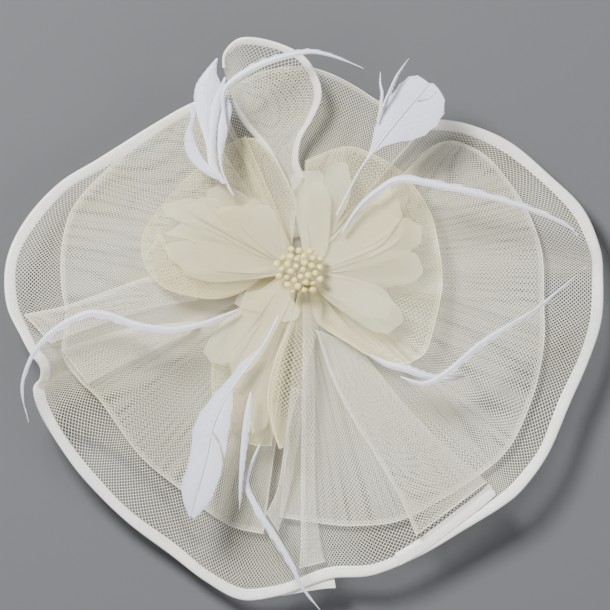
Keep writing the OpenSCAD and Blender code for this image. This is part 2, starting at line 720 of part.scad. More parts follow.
felt_base();
base_stitches();
brim_net();
curl_net();
curl_side_binding();
brim_wire();
curl_wire();
brim_binding();
curl_binding();
binding_joint();
binding_tail();
layer_left();
layer_right();
top_fold();
loop_left();
band_left();
loop_right();
band_right();
loop_top();
loop_bottom();
loop_front();
tail_left_upper();
tail_left_lower();
tail_right();
tail_bottom_a();
tail_bottom_b();
petals_left();
petals_right();
petals_bottom();
flower_base();
stamen_stems();
stamen_heads();
goose_upper();
goose_lower();
hackle_bunch();
biots_upper();
biot_right();
biots_lower_right();
biot_left();
biots_bottom();
biot_top();
clip_pad();
clip_arm();
clip_jaw();
clip_pin();
clip_spring();
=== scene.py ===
"""Looks of the fascinator headpiece. Lengths in this script are millimetres until a mesh is made."""

import math

import bpy
import numpy as np
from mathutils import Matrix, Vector


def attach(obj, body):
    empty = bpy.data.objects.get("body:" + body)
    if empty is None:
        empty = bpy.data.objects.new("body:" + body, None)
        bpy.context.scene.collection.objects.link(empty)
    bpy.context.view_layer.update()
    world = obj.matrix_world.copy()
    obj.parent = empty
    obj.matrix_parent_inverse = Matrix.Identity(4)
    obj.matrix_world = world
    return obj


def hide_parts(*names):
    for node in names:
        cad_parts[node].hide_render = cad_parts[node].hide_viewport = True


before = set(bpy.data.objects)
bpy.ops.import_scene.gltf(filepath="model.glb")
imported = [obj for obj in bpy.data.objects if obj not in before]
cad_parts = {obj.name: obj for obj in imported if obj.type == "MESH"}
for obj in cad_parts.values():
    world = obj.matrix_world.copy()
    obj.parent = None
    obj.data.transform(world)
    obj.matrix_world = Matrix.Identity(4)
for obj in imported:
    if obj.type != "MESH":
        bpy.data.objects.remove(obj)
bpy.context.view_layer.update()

MM = 0.001
BODY = "headpiece"
scene = bpy.context.scene

# ---------------------------------------------------------------- shape functions, as in the CAD

FELT_Z, FELT_T, FELT_R = 3.2, 2.4, 27.0
NET_Z = FELT_Z + FELT_T + 0.8
NET_T = 0.5
WAVE = 6.0
CURL_H = 24.0
BINDING_W, BINDING_T = 6.6, 1.8
CURL_BINDING_W = 4.6
VANE_T = 0.7


def smooth(points, t):
    p = np.asarray(points, float)
    n = len(p)
    k = np.clip(np.asarray(t, float), 0, 1) * (n - 1)
    i = np.minimum(np.floor(k).astype(int), n - 2)
    f = (k - i)[..., None]
    a, b, c, d = p[np.maximum(i - 1, 0)], p[i], p[i + 1], p[np.minimum(i + 2, n - 1)]
    return 0.5 * (2 * b + (c - a) * f + (2 * a - 5 * b + 4 * c - d) * f * f
                  + (3 * b - a - 3 * c + d) * f ** 3)


def saucer(x, y):
    r, a = np.hypot(x, y), np.arctan2(y, x)
    return NET_Z + (r / 180) ** 2 * (
        7 + WAVE * np.cos(3 * (a - math.radians(75))) + 2 * np.cos(5 * a + math.radians(40)))


def spray(x, y, level):
    return NET_Z + 22 + 0.9 * level + 4.5 * (
        1 - np.cos(np.radians(2 * np.minimum(np.hypot(x, y), 90))))


def arc(r, a0, a1, lift, n=8):
    return [[r * math.cos(math.radians(a0 + (a1 - a0) * i / n)),
             r * math.sin(math.radians(a0 + (a1 - a0) * i / n)), lift] for i in range(n + 1)]


def unit(v):
    return v / np.maximum(np.linalg.norm(v, axis=-1, keepdims=True), 1e-9)


class Net:
    """A net surface from the gathering Q to the free edge E; calling it gives points."""

    def __init__(self, E, Q, cup=2.0, flute=(0, 0), extra=None):
        self.E, self.Q, self.cup, self.flute, self.extra = E, Q, cup, flute, extra

    def __call__(self, t, s):
        t, s = np.broadcast_arrays(np.asarray(t, float), np.asarray(s, float))
        e, q = smooth(self.E, t), smooth(self.Q, t)
        xy = q[..., :2] + (e[..., :2] - q[..., :2]) * s[..., None]
        rise = q[..., 2] + (e[..., 2] - q[..., 2]) * np.power(np.maximum(s, 0), self.cup)
        rise = rise + self.flute[0] * np.sin(2 * np.pi * self.flute[1] * t) * s * (1 - s) * 4
        if self.extra is not None:
            rise = rise + self.extra(t, s, xy)
        z = saucer(xy[..., 0], xy[..., 1]) + rise + NET_T / 2
        return np.concatenate([xy, z[..., None]], -1)

    def normal(self, t, s):
        d = 0.004
        a = self(np.minimum(t + d, 1), s) - self(np.maximum(t - d, 0), s)
        b = self(t, np.minimum(s + d, 1)) - self(t, np.maximum(s - d, 0))
        n = unit(np.cross(a, b))
        return np.where(n[..., 2:] < 0, -n, n)

    def edge_length(self):
        p = self(np.linspace(0, 1, 400), 1.0)
        return float(np.linalg.norm(np.diff(p, axis=0), axis=1).sum())

    def width(self):
        t = np.linspace(0, 1, 60)
        s = np.linspace(0, 1, 12)
        p = self(t[:, None], s[None])
        return float(np.linalg.norm(np.diff(p, axis=1), axis=2).sum(1).mean())


# ---------------------------------------------------------------- the control curves of the CAD

RIM = [[-50, 106, 3], [-68, 99, 4], [-89, 87, 4], [-121, 67, 3],
       [-145, 52, 3], [-165, 30, 3], [-176, 6, 4], [-176, -20, 7], [-167, -40, 11], [-161, -51, 12],
       [-156, -58, 9], [-156, -65, 5], [-160, -72, 3], [-155, -88, 1], [-138, -115, 1],
       [-122, -134, 0], [-102, -153, 0], [-78, -171, 0], [-57, -187, 0], [-36, -198, 0],
       [-14, -196, 0], [4, -190, 0], [20, -185, 1], [44, -183, 1], [73, -171, 0], [100, -155, 1],
       [121, -142, 2], [134, -131, 2], [149, -110, 1], [162, -80, 0], [173, -55, 0], [181, -30, 0],
       [182, -4, 1], [180, 14, 2], [170, 37, 2], [150, 57, 2], [126, 77, 0], [100, 88, 0],
       [78, 91, 0]]
RIM_ARC = [[0, 114], [3, 150], [6, 178], [10, 200], [16, 236], [22, 276], [27, 314], [32, 358],
           [36, 390], [38, 410]]
angles = np.radians(np.interp(np.arange(len(RIM)), [a[0] for a in RIM_ARC], [a[1] for a in RIM_ARC]))
RING = [[15 * math.cos(a), 15 * math.sin(a), 0] for a in angles]
CURL = [[3, 56, 13], [-1, 66, 16], [1, 79, 19], [8, 91, CURL_H - 2], [13, 104, CURL_H],
        [10, 117, CURL_H], [1, 129, CURL_H], [-17, 137, CURL_H - 1], [-35, 139, CURL_H - 1],
        [-45, 131, CURL_H - 2], [-46, 121, CURL_H - 4]]
CURL_FOLD = [[-5, 46, 8], [-11, 59, 8], [-17, 69, 8], [-24, 77, 8], [-31, 84, 8], [-36, 91, 8],
             [-39, 98, 8], [-40, 103, 8], [-42, 108, 9]]

# the slack of the brim stands up in one ridge below the fold in its left side
RIDGE = smooth([[-153, -74], [-139, -94], [-115, -105], [-91, -122], [-75, -139], [-62, -160]],
               np.linspace(0, 1, 70))


def pleats(height, turns, fade, phase=0.0):
    """gathers that run out from the middle and fade towards the free edge"""
    def rise(t, s, xy):
        a = 2 * np.pi * turns * t + phase + 0.9 * np.sin(2 * np.pi * 3 * t + phase)
        return height * np.sin(a) * np.sqrt(np.maximum(s, 0)) * np.exp(-fade * s)
    return rise


def brim_slack(t, s, xy):
    d = np.full(xy.shape[:-1], 1e9)
    for p in RIDGE:
        d = np.minimum(d, (xy[..., 0] - p[0]) ** 2 + (xy[..., 1] - p[1]) ** 2)
    return 4.0 * np.exp(-d / 14) * np.clip((1 - s) * 12, 0, 1) + pleats(1.5, 15, 2.4)(t, s, xy)


brim = Net(RIM, RING, 6, (1.2, 9), brim_slack)
curl = Net(CURL, CURL_FOLD, 1.3)
layer_left = Net([[-64, 99, 7], [-90, 82, 8], [-115, 61, 8], [-135, 39, 8], [-142, 18, 9],
                  [-143, -6, 10], [-140, -28, 11], [-142, -50, 11], [-132, -66, 9],
                  [-119, -79, 7], [-96, -111, 6], [-71, -132, 6], [-55, -145, 6],
                  [-40, -154, 6], [-22, -158, 6]], arc(12, 122, 262, 3), 2, (0.8, 5),
                 pleats(1.6, 11, 2.0))
layer_right = Net([[-12, -148, 6], [2, -150, 6], [26, -153, 6], [50, -152, 6], [65, -148, 6],
                   [85, -137, 6], [108, -122, 7], [122, -110, 7], [131, -96, 7], [141, -70, 6],
                   [146, -44, 6], [146, -21, 6], [145, 10, 6], [137, 34, 6], [125, 53, 6],
                   [112, 68, 6], [97, 76, 6], [87, 77, 6], [76, 72, 6], [64, 62, 6]],
                  arc(12, 266, 404, 3), 2, (0.8, 6),
                  pleats(1.8, 13, 1.8, 1.0))
top_fold = Net([[76, 87, 5], [62, 94, 5], [47, 101, 6], [33, 110, 6], [17, 118, 6], [0, 122, 6],
                [-22, 119, 6], [-38, 111, 6], [-52, 101, 6]], arc(20, 49, 117, 3), 1, (0, 0),
               pleats(1.2, 6, 1.5))
loop_left = Net([[-32, 80, 16], [-46, 73, 18], [-63, 59, 20], [-77, 45, 20], [-86, 34, 20],
                 [-94, 21, 21], [-94, 8, 22], [-90, -2, 22], [-80, -11, 21], [-63, -16, 20],
                 [-48, -17, 19], [-34, -13, 17], [-23, -6, 15]], arc(9, 105, 190, 10), 2, (0, 0),
                pleats(1.4, 7, 1.2))
loop_right = Net([[12, -33, 16], [26, -41, 17], [41, -49, 18], [61, -56, 19], [68, -54, 20],
                  [76, -47, 20], [83, -21, 20], [85, -6, 20], [83, 13, 20], [78, 34, 19],
                  [68, 50, 19], [56, 62, 19], [34, 73, 18], [20, 72, 17], [3, 65, 16]],
                 arc(9, -66, 84, 10), 2, (0, 0),
                 pleats(1.6, 9, 1.2, 2.0))
loop_top = Net([[-5, 14, 14], [-4, 27, 14.5], [-3, 40, 15], [-9, 56, 16], [-16, 68, 17], [-26,
               79, 18]],
               [[-12, 9, 14], [-16, 22, 14.5], [-22, 38, 15.5], [-29, 52, 16.5], [-33, 66,
               17.5], [-34, 79, 18]], 1)
loop_bottom = Net([[-22, -4, 16], [-32, -13, 18], [-37, -27, 19], [-46, -41, 20], [-52, -54, 21],
                   [-52, -75, 21], [-44, -94, 20], [-29, -104, 20], [-17, -105, 19]],
                  arc(10, 196, 255, 14))
loop_front = Net([[-1, -13, 20.5], [-3, -24, 24], [-7, -35, 28], [-14, -52, 31], [-19, -74, 33],
                  [-17, -92, 34], [-12, -107, 33]],
                 [[9, -10, 20.5], [13, -20, 22.5], [11, -34, 27], [5, -56, 31], [-2, -78, 33],
                  [-7, -96, 34], [-10, -106, 33]], 1)
band_left = Net([[-12, 6, 19], [-22, 4, 20], [-33, 2, 22], [-48, -1, 23], [-64, 1, 24], [-76, 9,
                24], [-84, 22, 24]],
                [[-12, -3, 19], [-23, -5, 20], [-34, -12, 22], [-50, -16, 23], [-68, -14, 24],
                [-84, -6, 24], [-92, 10, 24]], 1)
band_right = Net([[6, -14, 18], [11, -31, 18.5], [28, -43, 21], [45, -53, 23], [60, -57, 24]],
                 [[11, -7, 18], [16, -18, 18.5], [24, -29, 21], [38, -42, 23], [61, -54, 24]], 1)
tail_left_upper = Net([[-62, 2, 10.5], [-96, -6, 12], [-138, -21, 15], [-165, -27, 15]],
                      [[-62, -18, 10.5], [-94, -24, 12], [-126, -35, 15], [-149, -44, 15]], 1)
tail_left_lower = Net([[-62, -31, 11], [-105, -36, 12], [-143, -48, 13]],
                      [[-66, -38, 11], [-98, -53, 12], [-127, -68, 13]], 1)
tail_right = Net([[10, -36, 12], [18, -61, 11], [30, -86, 10], [46, -112, 9], [60, -136, 9],
                  [70, -159, 8]],
                 [[34, -45, 12], [68, -86, 11], [89, -107, 10], [104, -120, 9], [112, -127, 9]],
                 1, (0.8, 1))
tail_bottom_a = Net([[-5, -70, 12], [-12, -126, 10], [-20, -146, 9]],
                    [[4, -72, 12], [-5, -126, 10], [-13, -157, 9]], 1)
tail_bottom_b = Net([[2, -20, 13], [2, -60, 13], [1, -126, 11], [1, -161, 8], [0, -179, 5]],
                    [[6, -20, 13], [9, -60, 13], [9, -126, 11], [12, -161, 8], [15, -175, 5]], 1)

# ---------------------------------------------------------------- materials


def material(name, base, rough=0.5, spread=0.04, scale=300.0, warm=None, bump=0.0,
             bump_scale=900.0, stretch=(1, 1, 1), **sockets):
    """Principled material: colour varied by two noises, fine bump; sockets are constants."""
    m = bpy.data.materials.new(name)
    m.use_nodes = True
    nt = m.node_tree
    nt.nodes.clear()
    out = nt.nodes.new("ShaderNodeOutputMaterial")
    p = nt.nodes.new("ShaderNodeBsdfPrincipled")
    nt.links.new(p.outputs[0], out.inputs[0])
    tc = nt.nodes.new("ShaderNodeTexCoord")
    mp = nt.nodes.new("ShaderNodeMapping")
    mp.inputs["Scale"].default_value = stretch
    nt.links.new(tc.outputs["Object"], mp.inputs[0])
    broad = nt.nodes.new("ShaderNodeTexNoise")
    broad.inputs["Scale"].default_value = 22
    broad.inputs["Detail"].default_value = 2
    nt.links.new(tc.outputs["Object"], broad.inputs[0])
    fine = nt.nodes.new("ShaderNodeTexNoise")
    fine.inputs["Scale"].default_value = scale
    nt.links.new(mp.outputs[0], fine.inputs[0])
    ramp = nt.nodes.new("ShaderNodeValToRGB")
    lo = warm if warm else [c * (1 - spread * 2) for c in base]
    ramp.color_ramp.elements[0].position = 0.3
    ramp.color_ramp.elements[0].color = (*lo, 1)
    ramp.color_ramp.elements[1].position = 0.65
    ramp.color_ramp.elements[1].color = (*base, 1)
    nt.links.new(broad.outputs[0], ramp.inputs[0])
    mix = nt.nodes.new("ShaderNodeMix")
    mix.data_type = "RGBA"
    mix.blend_type = "MULTIPLY"
    mix.inputs["Factor"].default_value = min(1.0, spread * 6)
    nt.links.new(ramp.outputs[0], mix.inputs["A"])
    nt.links.new(fine.outputs[0], mix.inputs["B"])
    nt.links.new(mix.outputs["Result"], p.inputs["Base Color"])
    p.inputs["Roughness"].default_value = rough
    for k, v in sockets.items():
        p.inputs[k.replace("_", " ")].default_value = v
    if bump:
        bn = nt.nodes.new("ShaderNodeTexNoise")
        bn.inputs["Scale"].default_value = bump_scale
        nt.links.new(mp.outputs[0], bn.inputs[0])
        b = nt.nodes.new("ShaderNodeBump")
        b.inputs["Strength"].default_value = bump
        b.inputs["Distance"].default_value = 0.0004
        nt.links.new(bn.outputs[0], b.inputs["Height"])
        nt.links.new(b.outputs[0], p.inputs["Normal"])
    return m


M_THREAD = material("crinoline_thread", (0.86, 0.83, 0.69), 0.4, 0.02, 200, (0.80, 0.74, 0.54))
M_CREAM = material("crinoline_cream", (0.84, 0.77, 0.46), 0.4, 0.02, 200, (0.78, 0.69, 0.37))
M_SATIN = material("satin_binding", (0.93, 0.915, 0.84), 0.34, 0.02, 500, (0.84, 0.82, 0.74),
                   0.35, 1400, (1, 1, 1), Sheen_Weight=0.35, Sheen_Roughness=0.35)
M_STITCH = material("stitch_thread", (0.85, 0.84, 0.78), 0.6, 0.04, 900)
M_ORGANZA = material("organza", (0.82, 0.77, 0.54), 0.5, 0.015, 700, (0.79, 0.71, 0.43),
                     0.2, 1800, (1, 1, 1), Sheen_Weight=0.5, Sheen_Roughness=0.4, Alpha=0.44)
M_STIFFENER = material("flower_stiffener", (0.86, 0.82, 0.68), 0.8, 0.04, 900, None, 0.3, 1500)
M_FEATHER = material("feather_barbs", (0.79, 0.80, 0.90), 0.5, 0.02, 500, (0.71, 0.72, 0.85),
                     Sheen_Weight=0.3)
# a darker copy of the barb material: painted shade that draws lines between barbs
M_BARB_PAINTED_SHADE = material("feather_barbs_painted_shade", (0.73, 0.74, 0.85), 0.5, 0.02, 500,
                      (0.65, 0.66, 0.79), Sheen_Weight=0.3)
M_QUILL = material("feather_quill", (0.93, 0.92, 0.90), 0.3, 0.02, 500)
M_STAMEN = material("stamen_heads", (0.94, 0.82, 0.33), 0.4, 0.04, 900, (0.88, 0.69, 0.20),
                    0.3, 1500, Coat_Weight=0.3)
M_STEM = material("stamen_stems", (0.88, 0.85, 0.66), 0.6, 0.04, 900)
M_FELT = material("felt", (0.82, 0.80, 0.72), 0.95, 0.08, 1200, None, 0.8, 1500,
                  Sheen_Weight=0.3)
M_STEEL = material("brushed_steel", (0.62, 0.62, 0.63), 0.3, 0.06, 600, None, 0.12, 1200,
                   (0.05, 1, 1), Metallic=1.0)
M_WIRE = material("covered_wire", (0.85, 0.84, 0.80), 0.6, 0.04, 900)

# ---------------------------------------------------------------- mesh helpers


def mesh_piece(name, verts, faces, mats, replaces=(), face_mat=None, shade=False):
    """faces is an (n, 4) or (n, 3) array, or a list of such arrays"""
    groups = faces if isinstance(faces, list) else [faces]
    me = bpy.data.meshes.new(name)
    v = np.asarray(verts, float) * MM
    me.vertices.add(len(v))
    me.vertices.foreach_set("co", v.astype(np.float32).ravel())
    idx = np.concatenate([g.ravel() for g in groups]).astype(np.int32)
    sizes = np.concatenate([np.full(len(g), g.shape[1]) for g in groups])
    starts = np.concatenate([[0], np.cumsum(sizes)[:-1]]).astype(np.int32)
    me.loops.add(len(idx))
    me.loops.foreach_set("vertex_index", idx)
    me.polygons.add(len(sizes))
    me.polygons.foreach_set("loop_start", starts)
    for m in mats:
        me.materials.append(m)
    if face_mat is not None:
        me.polygons.foreach_set("material_index", np.asarray(face_mat, np.int32))
    me.polygons.foreach_set("use_smooth", np.full(len(sizes), shade))
    me.update(calc_edges=True)
    me.validate()
    ob = bpy.data.objects.new(name, me)
    scene.collection.objects.link(ob)
    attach(ob, BODY)
    if replaces:
        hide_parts(*replaces)
    return ob


def grid_quads(n, m, start=0, closed=False):
    i, j = np.meshgrid(np.arange(n - 1), np.arange(m if closed else m - 1), indexing="ij")
    k = (j + 1) % m
    return start + np.stack([i * m + j, i * m + k, (i + 1) * m + k, (i + 1) * m + j],
                            -1).reshape(-1, 4)


class Builder:
    """collects grids of points into one mesh"""

    def __init__(self):
        self.v, self.f, self.m, self.n = [], [], [], 0

    def grid(self, g, mat=0, closed=False):
        g = np.asarray(g, float)
        n, m = g.shape[:2]
        self.v.append(g.reshape(-1, 3))
        f = grid_quads(n, m, self.n, closed)
        self.f.append(f)
        self.m.append(np.full(len(f), mat))
        self.n += n * m

    def ribbons(self, p, side, mat=0):
        """p is (k, m, 3) centre lines, side (k, m, 3) half-width vectors"""
        k, m = p.shape[:2]
        g = np.stack([p - side, p + side], 2)
        self.v.append(g.reshape(-1, 3))
        a = (np.arange(k)[:, None] * m + np.arange(m - 1)[None]).reshape(-1) * 2
        f = self.n + np.stack([a, a + 1, a + 3, a + 2], -1)
        self.f.append(f)
        self.m.append(np.full(len(f), mat))
        self.n += k * m * 2

    def tube(self, path, r, sides=6, mat=0):
        path = np.asarray(path, float)
        r = np.broadcast_to(np.asarray(r, float), (len(path),))
        t = unit(np.gradient(path, axis=0))
        ref = np.array([0.13, 0.21, 0.97])
        a = unit(np.cross(t, ref))
        b = np.cross(t, a)
        w = np.arange(sides) * 2 * np.pi / sides
        g = path[:, None] + r[:, None, None] * (
            a[:, None] * np.cos(w)[None, :, None] + b[:, None] * np.sin(w)[None, :, None])
        self.grid(g, mat, True)

    def blob(self, c, r, scale=(1, 1, 1), rings=7, sides=10, mat=0, tilt=(0, 0)):
        u = np.linspace(0, np.pi, rings)
        w = np.arange(sides) * 2 * np.pi / sides
        g = np.stack([np.sin(u)[:, None] * np.cos(w)[None], np.sin(u)[:, None] * np.sin(w)[None],
                      np.cos(u)[:, None] * np.ones(sides)[None]], -1)
        g = g * np.asarray(scale) * r
        g[..., 0] += g[..., 2] * tilt[0]
        g[..., 1] += g[..., 2] * tilt[1]
        self.grid(g + np.asarray(c), mat, True)

    def piece(self, name, mats, slot, replaces=(), shade=False):
        return mesh_piece(name, np.concatenate(self.v), np.concatenate(self.f), mats,
                          replaces, np.concatenate(self.m), shade)


# ---------------------------------------------------------------- crinoline net, thread by thread

PITCH = 1.6         # between threads of the flat bias net
THREAD = 0.30       # thread width


def crowding(net, t, s, length, width):
    """how much smaller a patch of the net is than when flat: 1 where it lies flat"""
    d = 0.004
    ahead, behind = np.minimum(t + d, 1), np.maximum(t - d, 0)
    out, back = np.minimum(s + d, 1), np.maximum(s - d, 0)
    along = (net(ahead, s) - net(behind, s)) / ((ahead - behind) * length)[..., None]
    across = (net(t, out) - net(t, back)) / ((out - back) * width)[..., None]
    return np.clip(np.linalg.norm(np.cross(along, across), axis=-1), 0.0, 1.0)


def net_threads(b, net, steps, s_end=1.0, pitch=PITCH, thread=THREAD, edge_on=0.19):
    """two families of bias threads over a net surface, seen more edge-on where it is gathered;
    returns the length and width of the net, and the area of its threads when it lies flat"""
    length, width = net.edge_length(), net.width() * s_end
    gap = pitch * math.sqrt(2)
    c = np.arange(-width + gap / 2, length, gap)
    y0 = np.maximum(0, -c)
    y1 = np.minimum(width, length - c)
    keep = y1 - y0 > gap * 0.6
    c, y0, y1 = c[keep], y0[keep], y1[keep]
    y = y0[:, None] + (y1 - y0)[:, None] * np.linspace(0, 1, steps)[None]
    for family in (0, 1):
        x = c[:, None] + y if family == 0 else length - (c[:, None] + y)
        t = np.clip(x / length, 0, 1)
        s = np.clip(y / width, 0, 1) * s_end
        p = net(t, s)
        n = net.normal(t, s)
        along = unit(np.gradient(p, axis=1))
        seen = np.maximum(crowding(net, t, s, length, width / s_end) ** edge_on, 0.3)
        side = unit(np.cross(along, n)) * (seen * thread / 2)[..., None]
        b.ribbons(p + n * (0.09 if family else -0.09), side)
    return length, width, 2 * length * width / pitch * thread


def edge_line(b, net, s, thread, n, lift=0.0):
    """a thread along the whole net, at depth s"""
    t = np.linspace(0.0, 1.0, n)
    p = net(t, np.full(n, s))
    nn = net.normal(t, np.full(n, s))
    side = unit(np.cross(unit(np.gradient(p, axis=0)), nn)) * thread / 2
    b.ribbons((p + nn * lift)[None], side[None])


def cross_line(b, net, t, thread, s_end=1.0, n=40):
    """a thread across the net, at t along it"""
    s = np.linspace(0, s_end, n)
    tt = np.full(n, t)
    p = net(tt, s)
    nn = net.normal(tt, s)
    side = unit(np.cross(unit(np.gradient(p, axis=0)), nn)) * thread / 2
    b.ribbons(p[None], side[None])


def net_piece(name, net, mats, slot, steps, s_end=1.0, selvedge=True, node=None,
              side_edges=(), edge_on=0.19):
    b = Builder()
    length, width, area = net_threads(b, net, steps, s_end, edge_on=edge_on)
    n = max(40, int(length / 4))
    if selvedge:
        edge_line(b, net, s_end, 0.7, n=n)
        edge_line(b, net, s_end - 1.1 / width, 0.3, n=n, lift=0.12)
        edge_line(b, net, s_end - 2.0 / width, 0.3, n=n, lift=0.12)
    for t in side_edges:
        cross_line(b, net, t, 0.6, s_end)
    ob = b.piece(name, mats, slot, (node or name,))


# ---------------------------------------------------------------- felt base and its stitches

b = Builder()
prof = [(0, 0), (FELT_R - 2.0, 0), (FELT_R - 0.6, 0.25), (FELT_R, 0.9), (FELT_R, 1.5),
        (FELT_R - 0.6, 2.15), (FELT_R - 2.0, 2.4), (0, 2.4)]
w = np.arange(72) * 2 * np.pi / 72
g = np.array([[[max(r, 0.01) * math.cos(a), max(r, 0.01) * math.sin(a),
                FELT_Z + z + 0.05 * math.sin(7 * a + r)] for a in w] for r, z in prof])
b.grid(g, 0, True)
felt = b.piece("felt_disc", [M_FELT], "felt", ("felt_base",), True)

b = Builder()
hw, z0, z1 = 4.5, 1.5, 3.2
ring = [(-1, 0.25), (-0.93, 0.02), (0.93, 0.02), (1, 0.25), (1, 0.75), (0.93, 0.98), (-0.93, 0.98),
        (-1, 0.75)]
x = np.linspace(-16, 24, 24)
g = np.array([[[xx, hw * u * (1 if 0 < i < 23 else 0.9), z0 + (z1 - z0) * v] for u, v in ring]
              for i, xx in enumerate(x)])
b.grid(g, 0, True)
for k in (0, 23):
    b.grid(np.stack([g[k], np.repeat(g[k].mean(0)[None], 8, 0)]), 0, True)
pad_piece = b.piece("felt_pad", [M_FELT], "felt", ("clip_pad",), True)

b = Builder()
for i in range(12):
    a = math.radians(30 * i)
    u = np.linspace(-1, 1, 9)
    loc = np.stack([12 + 0.7 * u, 2 * u, 0.35 - 0.25 * u ** 4], -1)
    path = np.stack([loc[:, 0] * math.cos(a) - loc[:, 1] * math.sin(a),
                     loc[:, 0] * math.sin(a) + loc[:, 1] * math.cos(a),
                     FELT_Z + FELT_T + loc[:, 2] - 0.1], -1)
    b.tube(path, 0.24, 6)
b.piece("base_thread", [M_STITCH], "thread", ("base_stitches",), True)

# ---------------------------------------------------------------- nets

ivory = [M_THREAD]
cream = [M_CREAM]
net_piece("brim_crinoline", brim, ivory, "crin_ivory", 40, 0.99, False, "brim_net",
          side_edges=(0.002, 0.998))
net_piece("rolled_end_crinoline", curl, ivory, "crin_ivory", 18, 0.97, False, "curl_net",
          side_edges=(0.01,))
net_piece("second_layer_left", layer_left, ivory, "crin_ivory", 34, node="layer_left",
          side_edges=(0.004, 0.996))
net_piece("second_layer_right", layer_right, ivory, "crin_ivory", 34, node="layer_right",
          side_edges=(0.004, 0.996))
net_piece("back_fold", top_fold, ivory, "crin_ivory", 26, node="top_fold",
          side_edges=(0.01, 0.99))
for nm, net in (("loop_left", loop_left), ("loop_right", loop_right), ("loop_top", loop_top),
                ("loop_bottom", loop_bottom), ("loop_front", loop_front),
                ("band_left", band_left), ("band_right", band_right)):
    net_piece("gathered_" + nm, net, cream, "crin_cream", 26, node=nm, side_edges=(0.01, 0.99),
              edge_on=0.22)
for nm, net in (("tail_left_upper", tail_left_upper), ("tail_left_lower", tail_left_lower),
                ("tail_right", tail_right), ("tail_bottom_a", tail_bottom_a),
                ("tail_bottom_b", tail_bottom_b)):
    net_piece("net_" + nm, net, ivory, "crin_ivory", 14, node=nm,
              side_edges=(0.01, 0.99), edge_on=0.4)

# ---------------------------------------------------------------- satin binding


def edge_frames(net, t):
    d = 0.002
    p = net(t, 1.0)
    along = unit(net(np.minimum(t + d, 1), 1.0) - net(np.maximum(t - d, 0), 1.0))
    raw = net(t, 0.96) - p
    inward = unit(raw - along * (raw * along).sum(-1, keepdims=True))
    up = np.cross(along, inward)
    up = np.where(up[:, 2:] < 0, -up, up)
    p = p - np.array([0, 0, NET_T / 2])
    return p, inward, up


def binding(b, net, steps, seed, width=BINDING_W):
    t = np.linspace(0, 1, steps)
    p, inward, up = edge_frames(net, t)
    h = BINDING_T / 2
    ln = np.cumsum(np.r_[0, np.linalg.norm(np.diff(p, axis=0), axis=1)])
    rows = []
    prof = [(width, -0.42), (width * 0.8, -h * 0.8), (width * 0.4, -h), (1.2, -h),
            (0.35, -h * 0.7), (0, 0), (0.35, h * 0.7), (1.2, h), (width * 0.4, h),
            (width * 0.8, h * 0.8), (width, 0.42)]
    for k, (x, z) in enumerate(prof):
        far = x / width
        pucker = 0.16 * np.sin(ln * 2 * np.pi / 7.3 + seed + (z > 0)) * far
        wander = 0.35 * np.sin(ln * 2 * np.pi / 61 + seed) * far ** 3
        zz = z * (1 + pucker)
        rows.append(p + inward * (x + wander)[:, None] + up * zz[:, None])
    b.grid(np.stack(rows, 1))
    return ln[-1], (p, inward, up, ln)


def stitches(b, fr, inset, face, every=3.2, stitch=2.0):
    p, inward, up, ln = fr
    n = int(ln[-1] / every)
    for k in range(n):
        s = (k + 0.3) * every + np.linspace(0, stitch, 5)
        q = [np.array([np.interp(x, ln, arr[:, i]) for i in range(3)])
             for arr in (p, inward, up) for x in s]
        pp, ii, uu = np.array(q[:5]), np.array(q[5:10]), np.array(q[10:])
        dip = np.array([0.0, 0.12, 0.16, 0.12, 0.0]) * face
        path = pp + ii * inset + uu * (face * 0.74 + dip)[:, None]
        b.tube(path, 0.13, 4)


b = Builder()
rim_len, rim_fr = binding(b, brim, 620, 0.4)
bind = b.piece("satin_edge", [M_SATIN], "satin", ("brim_binding",), True)
b = Builder()
curl_len, curl_fr = binding(b, curl, 200, 1.7, CURL_BINDING_W)
cbind = b.piece("satin_edge_rolled", [M_SATIN], "satin", ("curl_binding",), True)
b = Builder()
t = np.linspace(0, 1, 120)
rows = []
for s, lift in ((-0.012, 0.0), (-0.01, 0.9), (0.02, 1.25), (0.045, 1.2), (0.062, 0.7), (0.066, 0.3)):
    rows.append(curl(t, np.maximum(s, 0.0)) + np.array([min(s, 0) * 40, 0, 0.2 + lift]))
b.grid(np.stack(rows, 1))
o = b.piece("satin_edge_side", [M_SATIN], "satin", ("curl_side_binding",), True)
side_len = float(np.linalg.norm(np.diff(curl(t, 0.05), axis=0), axis=1).sum())
b = Builder()
stitches(b, rim_fr, BINDING_W - 1.2, 1)
stitches(b, curl_fr, CURL_BINDING_W - 1.2, 1)
b.piece("binding_stitching", [M_STITCH], "thread", (), True)


def on_rim(t0, t1, start, end, width, rise, n, m=9):
    """ribbon over or under the rim; its outer side goes from start to end, counted inwards"""
    t = np.linspace(t0, t1, n)
    p, inward, up = edge_frames(brim, t)
    u = np.linspace(0, 1, m)
    outer = np.linspace(start, end, n)
    across = outer[:, None] + width * u[None]
    crown = rise + 0.1 + 0.65 * np.sin(np.pi * u) ** 0.6 * np.ones(n)[:, None]
    crown = crown + 0.12 * np.sin(60 * t)[:, None]
    return p[:, None] + inward[:, None] * across[..., None] + up[:, None] * crown[..., None]


def ribbon_over(name, node, t0, t1, start, end, width, rise, n):
    """a lapped run of binding, closed by a rolled edge on each side and at its free end"""
    b = Builder()
    g = on_rim(t0, t1, start, end, width, rise, n)
    b.grid(g)
    for path in (g[:, 0], g[:, -1], g[0], g[-1]):
        b.tube(path + [0, 0, -0.25], 0.38, 8)
    o = b.piece(name, [M_SATIN], "satin", (node,), True)


ribbon_over("satin_overlap", "binding_joint", 0.529, 0.579, 0.3, -5.6, 6.3, -BINDING_T / 2 - 1.2, 40)
ribbon_over("satin_second_run", "binding_tail", 0.62, 0.686, 0.2, 8.2, 7.2, BINDING_T / 2 + 0.4, 70)

